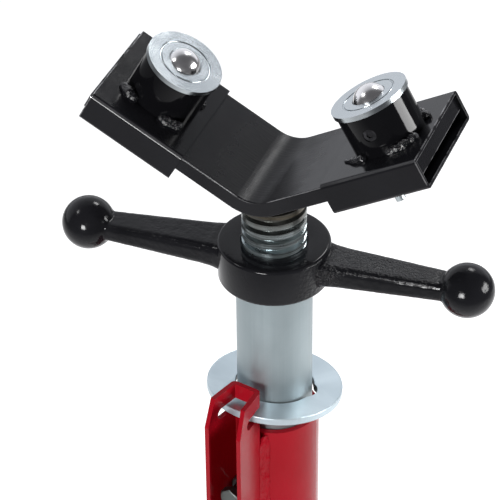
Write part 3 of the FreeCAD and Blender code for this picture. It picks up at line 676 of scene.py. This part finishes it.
def roughened(mesh):
    """Gives the arms the waves of a sand casting, coarse and fine, and the balls less of them."""
    ball_start, ball_share = (KNOB_CIRCLE - 17.0) * MM, 0.35
    coarse, coarse_depth = 260.0, 0.09
    fine, fine_depth = 620.0, 0.06
    moved = []
    for vertex in mesh.vertices:
        p = vertex.co
        calm = 1.0 if math.hypot(p.x, p.y) < ball_start else ball_share
        wave = calm * (noise.noise(p * coarse) * coarse_depth + noise.noise(p * fine) * fine_depth)
        moved.append(p + vertex.normal * (wave * MM))
    for vertex, place in zip(mesh.vertices, moved):
        vertex.co = place


def hub_profile():
    """Profile of the hub as (radius, level), with each corner rounded to its own radius."""
    low = HUB_TOP - HUB_HEIGHT
    corners = ((HUB_RADIUS, low, 2.2), (HUB_RADIUS, HUB_TOP, 1.8), (BORE, HUB_TOP, 0.9),
               (BORE, low + RECESS, 0.3), (RECESS_RADIUS, low + RECESS, 0.3), (RECESS_RADIUS, low, 0.9))
    profile = []
    for index, (radius, level, edge) in enumerate(corners):
        before = corners[index - 1][:2]
        after = corners[(index + 1) % len(corners)][:2]
        profile += rounded((radius, level), before, after, edge)
    return profile


def handwheel_casting(material):
    """Turned and bored hub with the rough cast arms and balls growing out of it."""
    arms = bmesh.new()
    cast_arm(arms, turn=0.0, extra=0.0)
    cast_arm(arms, turn=180.0, extra=2.4)
    root_lumps(arms)
    skin = made_object("arms", arms, material)
    blended(skin, voxel=0.8 * MM, rounds=4)
    roughened(skin.data)
    bm = bmesh.new()
    bm.from_mesh(skin.data)
    bpy.data.objects.remove(skin)
    lathe(bm, hub_profile())
    bmesh.ops.recalc_face_normals(bm, faces=bm.faces[:])
    obj = made_object("handwheel_casting", bm, material)
    obj.data.set_sharp_from_angle(angle=math.radians(50))
    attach(obj, "handwheel")
    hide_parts("handwheel")


def cup_welds(material):
    """Hand-laid tacks round the foot of each cup, each from one angle, reach and radius to another."""
    half_turn, plain_reach, plain_radius = 19.0, 23.6, 3.0

    def plain(middle):
        return ((middle - half_turn, plain_reach, plain_radius),
                (middle + half_turn, plain_reach, plain_radius))

    tacks = {"left": (((37.0, 27.6, 3.4), (57.0, 25.0, 3.4)), ((109.0, 23.8, 3.2), (131.0, 26.6, 4.3)),
                      plain(226.0), plain(314.0)),
             "right": (plain(51.0), plain(136.0), ((217.0, 29.4, 1.3), (245.0, 24.2, 3.4)),
                       ((290.0, 24.0, 3.1), (328.0, 24.6, 3.3)))}
    count, unevenness, raised = 8, 0.55, 0.28
    for side, sign in SIDES.items():
        for index, (first, last) in enumerate(tacks[side]):
            spots = []
            for step in range(count):
                angle, reach, fat = (a + (b - a) * step / (count - 1) for a, b in zip(first, last))
                fat *= uneven(index + sign, step, unevenness)
                turn = math.radians(angle)
                centre = arm_point(sign, UNIT_PLACE[side] + reach * math.cos(turn),
                                   SLEEVE_TOP + raised * fat, sign * reach * math.sin(turn))
                spots.append((centre, fat * MM))
            name = "cup_weld_%s_%d" % (side, index + 1)
            lumps(name, spots, material, "sleeve_" + side, voxel=0.4 * MM, rounds=4)


def bar_underside(x):
    """Level of the bar's underside at a distance x from the middle: round at the bend, then sloping."""
    outer = BEND_RADIUS + BAR_THICKNESS
    if abs(x) < outer * math.sin(VEE):
        return APEX + BEND_RADIUS / math.cos(VEE) - math.sqrt(outer ** 2 - x * x)
    return APEX + (abs(x) - BAR_THICKNESS * math.sin(VEE)) * math.tan(VEE) - BAR_THICKNESS * math.cos(VEE)


def screw_weld(material):
    """Bead round the screw where it meets the bar's underside."""
    count, radius, stand_off = 60, 1.9, 0.6
    reach = SCREW_RADIUS + stand_off
    spots = []
    for step in range(count):
        turn = 2 * math.pi * step / count
        x = reach * math.cos(turn)
        centre = Vector((x, reach * math.sin(turn), bar_underside(x) - stand_off)) * MM
        spots.append((centre, radius * MM * uneven(11, step, 0.5)))
    lumps("screw_weld", spots, material, "head", voxel=0.45 * MM, rounds=3)


def keeper_beads(material):
    """Flush run of weld down each back corner of the keeper, from its side to the tube, painted over.
    Its section, drawn as (outward, across) from the tube's axis, bulges unevenly from the corner,
    most at the top, and shrinks toward the corner at both ends."""
    steps, curve_steps = 56, 10
    top, length = TUBE_TOP - 2.0, 83.0
    bulge, swell, top_bulge, top_steps = 0.3, 1.6, 0.4, 4.0
    end_size, end_steps = 0.35, 5.0
    tube_radius, tube_angle, wander = 28.4, 26.4, 3.0
    on_side, on_tube, corner = Vector((35.2, 10.75)), Vector((25.2, 13.3)), Vector((27.2, 10.9))
    inside = (Vector((25.5, 9.6)), Vector((31.8, 9.0)))
    out, across = outward(KEEPER_ANGLE)
    bm = bmesh.new()
    for side in (-1, 1):
        sections = []
        for step in range(steps):
            taper = min(1.0, end_size + step / end_steps, end_size + (steps - 1 - step) / end_steps)
            full = bulge + swell * (uneven(20 + side, step * 0.35, 0.6) - 1.0)
            full += top_bulge * max(0.0, 1.0 - step / top_steps)
            middle = corner.lerp((on_side + on_tube) / 2, max(0.0, full))
            reach = math.radians(tube_angle + wander * (uneven(40 + side, step * 0.5, 0.6) - 1.0))
            edge = Vector((math.cos(reach), math.sin(reach))) * tube_radius
            profile = []
            for share in [i / curve_steps for i in range(curve_steps + 1)]:
                along = on_side.lerp(middle, share).lerp(middle.lerp(edge, share), share)
                profile.append(corner.lerp(along, taper))
            profile += inside
            z = top - length * step / (steps - 1)
            sections.append([(out * p.x + across * (side * p.y) + Vector((0, 0, z))) * MM for p in profile])
        loft(bm, sections)
    obj = made_object("keeper_beads", bm, material)
    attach(obj, "base")
    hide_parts("keeper_welds")


def bracket_beads(material):
    """Weld down both edges of each leg bracket, between its flat back and the round tube."""
    low, length, count = 441.0, 56.0, 26
    edge_out, edge_across, radius = 27.0, 14.6, 2.7
    for index, (leg, angle) in enumerate(LEGS.items()):
        out, across = outward(angle)
        spots = []
        for side in (-1, 1):
            for step in range(count):
                z = low + length * step / (count - 1)
                fat = uneven(30 + index * 2 + side, step, 0.35)
                centre = out * edge_out + across * side * edge_across + Vector((0, 0, z))
                spots.append((centre * MM, radius * MM * fat))
        lumps("bracket_beads_" + leg, spots, material, "base", voxel=0.6 * MM, rounds=3)


def paint(material, *names):
    """Gives CAD nodes a finished material."""
    for name in names:
        mesh = nodes[name].data
        mesh.materials.clear()
        mesh.materials.append(material)


def dress():
    """Finishes every CAD node and adds the casting and the runs of weld."""
    red = red_enamel("red_enamel", shine=0.12, grain=320.0, peel=0.00008)
    red_weld = red_enamel("red_weld", shine=0.05, grain=190.0, peel=0.0022)
    # bright edges on the bar and sleeves: worn ends and painted highlight lines
    bar_wear_and_highlight = worn_ends_and_edge_highlights(BAR_ENDS, BAR_WIDTH, 0.0, -BAR_THICKNESS, corner=1.0, shown=0.75)
    bar = black_paint("black_bar", depth=0.0085, rough=(0.16, 0.24), peel=0.00006, shine=0.21,
                      wear_and_highlight=bar_wear_and_highlight, bend=0.16)
    sleeve_wear_and_highlight = worn_ends_and_edge_highlights(SLEEVE_ENDS, SLEEVE_WIDTH, SLEEVE_TOP, SLEEVE_BOTTOM,
                              corner=2.6, shown=0.12, wall=SLEEVE_WALL)
    sleeve = black_paint("black_sleeve", depth=0.0085, rough=(0.11, 0.18), peel=0.00004, shine=0.21,
                         wear_and_highlight=sleeve_wear_and_highlight)
    cup = black_paint("black_cup", depth=0.004, rough=(0.05, 0.10), peel=0.00002, shine=0.19)
    weld = black_weld()
    casting = black_casting()
    drawn = zinc("zinc_drawn", (7.0, 7.0, 0.12), tint=(0.66, 0.69, 0.70), rough=(0.42, 0.52), metal=0.85)
    plain = zinc("zinc_plain", (2.0, 2.0, 2.0))
    # a darker copy of the plain zinc, used for the clamp screw and nut
    darker_zinc = zinc("zinc_darkened", (2.0, 2.0, 2.0), tint=(0.24, 0.235, 0.22), rough=(0.36, 0.5))
    shiny = polished_steel()
    seats = dark_steel()
    boots = rubber()
    paint(red, "outer_tube", "ring_keeper", "keeper_welds", "collar")
    for leg in LEGS:
        paint(red, "leg_bracket_" + leg, "leg_" + leg, "brace_" + leg + "_near", "brace_" + leg + "_far")
        paint(plain, "knee_bolt_" + leg, "collar_bolt_" + leg)
        paint(boots, "leg_foot_" + leg)
    paint(bar, "v_bar")
    paint(drawn, "post_tube")
    paint(plain, "thrust_washer", "leg_pivot_bolts", "leg_pivot_nuts", "collar_screw")
    paint(darker_zinc, "clamp_screw", "clamp_nut")
    paint(ring_zinc(), "lock_ring")
    paint(screw_zinc(), "lift_screw")
    paint(casting, "handwheel")
    for side in SIDES:
        paint(sleeve, "sleeve_" + side, "sleeve_nut_" + side)
        paint(cup, "ball_cup_" + side)
        paint(plain, "sleeve_screw_" + side)
        paint(seats, "cup_grub_screw_" + side, "ball_seat_" + side)
        paint(shiny, "bearing_balls_" + side, "load_ball_" + side)
        paint(turned_zinc(side), "ball_cap_" + side)
    paint(plastic("black_plastic", (0.02, 0.02, 0.02), (0.035, 0.035, 0.035)), "tube_end_cap")
    paint(plastic("guide_nylon", (0.55, 0.54, 0.50), (0.68, 0.67, 0.62)), "post_guide_plug")
    handwheel_casting(casting)
    cup_welds(weld)
    screw_weld(weld)
    keeper_beads(red_weld)
    bracket_beads(red_weld)


def floor():
    """White ground, evenly bright to the camera. What the stand mirrors of it is a painted pool of light
    that glows and fades away from its middle, and its own tone is painted darker away from it too."""
    s = Shader("studio_floor", (1.0, 1.0, 1.0), 0.0, 0.9)
    away = s.vector("DISTANCE", POOL)
    # painted pool of light: the glow that the stand mirrors fades away from the pool
    fading = s.spread(away, FLOOR_GLOW, FAR_GLOW, *POOL_EDGE, "SMOOTHSTEP")
    seen = s.node("ShaderNodeLightPath").outputs
    mirrored = s.math("MAXIMUM", seen["Is Glossy Ray"], seen["Is Transmission Ray"])
    glow = s.math("MAXIMUM", s.math("MULTIPLY", seen["Is Camera Ray"], FLOOR_GLOW),
                  s.math("MULTIPLY", mirrored, fading))
    # painted pool of light: the floor's own tone falls away from the pool
    s.put("Base Color", s.spread(away, FLOOR_TONE, FAR_TONE, *POOL_EDGE, "SMOOTHSTEP"))
    s.bsdf.inputs["Emission Color"].default_value = (1.0, 1.0, 1.0, 1.0)
    s.put("Emission Strength", glow)
    bm = bmesh.new()
    bmesh.ops.create_grid(bm, x_segments=2, y_segments=2, size=FLOOR_SIZE)
    obj = made_object("studio_floor", bm, s.material)


def world():
    """Dim room with a pale backdrop behind the stand, darker toward the ceiling."""
    made = bpy.data.worlds.new("studio")
    made.use_nodes = True
    n = Nodes(made.node_tree, "Generated")
    height = n.split()[2]
    stops = [(place, tuple(level * t for t in BACKDROP_TINT)) for place, level in BACKDROP_LEVELS]
    pale = n.ramp(height, stops)
    behind = n.spread(n.vector("DOT_PRODUCT", BACKDROP), 0.0, 1.0, *BACKDROP_EDGE)
    background = made.node_tree.nodes["Background"]
    n.link(n.mix(behind, ROOM, pale), background.inputs["Color"])
    background.inputs["Strength"].default_value = 1.0
    bpy.context.scene.world = made


def camera_axes():
    """The camera's right, up and back as unit vectors."""
    right = Vector((math.cos(AZIMUTH), math.sin(AZIMUTH), 0))
    back = Vector((math.sin(AZIMUTH) * math.cos(ELEVATION), -math.cos(AZIMUTH) * math.cos(ELEVATION),
                   math.sin(ELEVATION)))
    up = back.cross(right)
    c, s = math.cos(ROLL), math.sin(ROLL)
    return right * c + up * s, up * c - right * s, back


def softbox(name, toward, distance, size, power, spread=180.0):
    """Area lamp in a direction given in the camera's axes, facing the head of the stand."""
    right, up, back = camera_axes()
    way = (right * toward[0] + up * toward[1] + back * toward[2]).normalized()
    lamp = bpy.data.lights.new(name, "AREA")
    lamp.shape = "RECTANGLE"
    lamp.size, lamp.size_y = size
    lamp.energy = power
    lamp.spread = math.radians(spread)
    obj = bpy.data.objects.new(name, lamp)
    obj.location = LAMP_TARGET + way * distance
    obj.rotation_euler = way.to_track_quat("Z", "Y").to_euler()
    bpy.context.scene.collection.objects.link(obj)


def light():
    """Four soft lamps, the strongest at the right."""
    softbox("softbox_top", (0.28, 0.95, -0.10), distance=1.5, size=(0.3, 0.35), power=4.6)
    softbox("softbox_left", (-0.68, 0.60, 0.42), distance=1.7, size=(0.3, 0.3), power=3.0)
    softbox("softbox_front", (-0.40, -0.41, 0.82), distance=1.8, size=(0.5, 0.55), power=6.5, spread=80.0)
    softbox("softbox_right", (0.95, 0.10, 0.27), distance=1.7, size=(0.9, 0.55), power=27.0)


def camera():
    """Camera with the photograph's view."""
    data = bpy.data.cameras.new("camera")
    data.sensor_width = SENSOR
    data.lens = FOCAL_PIXELS / FRAME_PIXELS * SENSOR
    data.clip_start, data.clip_end = 0.01, 50.0
    obj = bpy.data.objects.new("camera", data)
    right, up, back = camera_axes()
    obj.matrix_world = Matrix(((right.x, up.x, back.x, EYE.x), (right.y, up.y, back.y, EYE.y),
                               (right.z, up.z, back.z, EYE.z), (0, 0, 0, 1)))
    bpy.context.scene.collection.objects.link(obj)
    bpy.context.scene.camera = obj


dress()
floor()
world()
light()
camera()
bpy.context.scene.view_settings.view_transform = "Standard"
